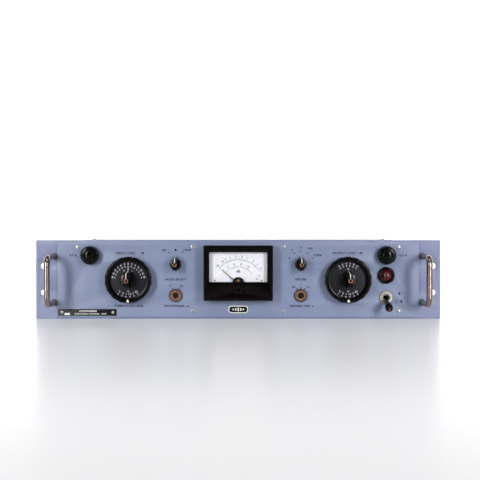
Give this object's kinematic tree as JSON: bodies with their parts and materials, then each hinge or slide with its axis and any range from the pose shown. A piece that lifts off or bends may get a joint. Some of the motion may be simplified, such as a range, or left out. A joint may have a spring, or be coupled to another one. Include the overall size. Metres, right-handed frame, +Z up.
{
  "type": "rack compressor",
  "caption": "Low rack-mounted audio compressor with bar handles, concentric gain dials, a moving-coil meter, selectors, fuses, lamp and toggle switch.",
  "frame": {"origin": "under the middle of the whole unit, on the surface it stands on", "axes": "+X to the right of the front panel, +Y to the rear, +Z up; the front faces -Y"},
  "size_m": [0.4826, 0.3, 0.094],
  "materials": {
    "panel_paint": "blue-grey semi-gloss enamel with small chips",
    "cover_paint": "blue-grey satin enamel",
    "handle_nickel": "worn nickel plate",
    "brass": "aged brass",
    "black_phenolic": "glossy black phenolic moulding",
    "dial_grey": "dark grey engraved plate",
    "brown_phenolic": "brown phenolic moulding",
    "screw_steel": "nickel-plated steel",
    "switch_steel": "plated steel",
    "clear_glass": "clear glass",
    "red_lens": "red moulded jewel",
    "white_card": "matt white printed card",
    "print_black": "matt black paint",
    "label_black": "black anodised plate with white lettering",
    "core_steel": "varnished steel laminations",
    "capacitor_can": "drawn aluminium can",
    "board_laminate": "brown phenolic paper board"
  },
  "bodies": {
    "chassis": {"rack_plate": "panel_paint", "front_plate": "panel_paint", "handle_left": "handle_nickel", "handle_right": "handle_nickel", "ferrule_left_lower": "brass", "ferrule_left_upper": "brass", "ferrule_right_lower": "brass", "ferrule_right_upper": "brass", "input_dial_plate": "dial_grey", "output_dial_plate": "dial_grey", "input_dial_switch": "switch_steel", "output_dial_switch": "switch_steel", "mode_switch": "switch_steel", "meter_select_switch": "switch_steel", "emphasis_switch": "switch_steel", "release_switch": "switch_steel", "toggle_body": "switch_steel", "emphasis_bush": "brown_phenolic", "release_bush": "brown_phenolic", "fuse_holder_left": "black_phenolic", "fuse_holder_right": "black_phenolic", "lamp_bezel": "black_phenolic", "lamp_bulb": "clear_glass", "toggle_nut": "brass", "meter_case": "black_phenolic", "meter_front": "black_phenolic", "meter_glass": "clear_glass", "meter_scale": "white_card", "meter_pivot_cover": "black_phenolic", "name_plate": "label_black", "badge": "label_black", "side_plate_left": "cover_paint", "side_plate_right": "cover_paint", "rear_panel": "cover_paint", "top_cover": "cover_paint", "bottom_cover": "cover_paint", "mains_inlet": "black_phenolic", "signal_connector": "screw_steel", "mains_transformer": "core_steel", "input_transformer": "switch_steel", "output_transformer": "switch_steel", "smoothing_capacitor": "capacitor_can", "amplifier_board": "board_laminate", "control_board": "board_laminate"},
    "input_dial_ring": {"input_dial_ring": "black_phenolic"},
    "input_dial_knob": {"input_dial_knob": "black_phenolic"},
    "output_dial_ring": {"output_dial_ring": "black_phenolic"},
    "output_dial_knob": {"output_dial_knob": "black_phenolic"},
    "mode_knob": {"mode_knob": "black_phenolic"},
    "meter_select_knob": {"meter_select_knob": "black_phenolic"},
    "emphasis_spindle": {"emphasis_spindle": "screw_steel"},
    "release_spindle": {"release_spindle": "screw_steel"},
    "fuse_cap_left": {"fuse_cap_left": "black_phenolic", "fuse_left": "clear_glass"},
    "fuse_cap_right": {"fuse_cap_right": "black_phenolic", "fuse_right": "clear_glass"},
    "lamp_lens": {"lamp_lens": "red_lens"},
    "toggle_lever": {"toggle_lever": "black_phenolic"},
    "meter_needle": {"meter_needle": "print_black"},
    "meter_zero_adjust": {"meter_zero_adjust": "black_phenolic"}
  },
  "joints": [
    {"name": "input_ring_turn", "type": "hinge", "parent": "chassis", "child": "input_dial_ring", "pos_m": [-0.13, -0.107, 0.047], "axis": [0, 1, 0], "range_deg": [-36, 36]},
    {"name": "input_knob_turn", "type": "hinge", "parent": "chassis", "child": "input_dial_knob", "pos_m": [-0.13, -0.107, 0.047], "axis": [0, 1, 0], "range_deg": [-80, 80]},
    {"name": "output_ring_turn", "type": "hinge", "parent": "chassis", "child": "output_dial_ring", "pos_m": [0.13, -0.107, 0.047], "axis": [0, 1, 0], "range_deg": [-36, 36]},
    {"name": "output_knob_turn", "type": "hinge", "parent": "chassis", "child": "output_dial_knob", "pos_m": [0.13, -0.107, 0.047], "axis": [0, 1, 0], "range_deg": [-34, 34]},
    {"name": "mode_turn", "type": "hinge", "parent": "chassis", "child": "mode_knob", "pos_m": [-0.0745, -0.107, 0.065], "axis": [0, 1, 0], "range_deg": [-30, 30]},
    {"name": "meter_select_turn", "type": "hinge", "parent": "chassis", "child": "meter_select_knob", "pos_m": [0.0745, -0.107, 0.065], "axis": [0, 1, 0], "range_deg": [-60, 60]},
    {"name": "emphasis_turn", "type": "hinge", "parent": "chassis", "child": "emphasis_spindle", "pos_m": [-0.0745, -0.107, 0.028], "axis": [0, 1, 0], "range_deg": [-30, 30]},
    {"name": "release_turn", "type": "hinge", "parent": "chassis", "child": "release_spindle", "pos_m": [0.0745, -0.107, 0.028], "axis": [0, 1, 0], "range_deg": [-30, 30]},
    {"name": "toggle_throw", "type": "hinge", "parent": "chassis", "child": "toggle_lever", "pos_m": [0.176, -0.108, 0.0256], "axis": [-1, 0, 0], "range_deg": [0, 48]},
    {"name": "needle_swing", "type": "hinge", "parent": "chassis", "child": "meter_needle", "pos_m": [0, -0.107, 0.042], "axis": [0, 1, 0], "range_deg": [0, 100], "stiffness_Nm_per_rad": 0.005},
    {"name": "zero_turn", "type": "hinge", "parent": "chassis", "child": "meter_zero_adjust", "pos_m": [0, -0.107, 0.034], "axis": [0, 1, 0], "range_deg": [-25, 25]},
    {"name": "fuse_left_pull", "type": "slide", "parent": "chassis", "child": "fuse_cap_left", "axis": [0, -1, 0], "range_m": [0, 0.03]},
    {"name": "fuse_right_pull", "type": "slide", "parent": "chassis", "child": "fuse_cap_right", "axis": [0, -1, 0], "range_m": [0, 0.03]},
    {"name": "lens_pull", "type": "slide", "parent": "chassis", "child": "lamp_lens", "axis": [0, -1, 0], "range_m": [0, 0.012]}
  ]
}
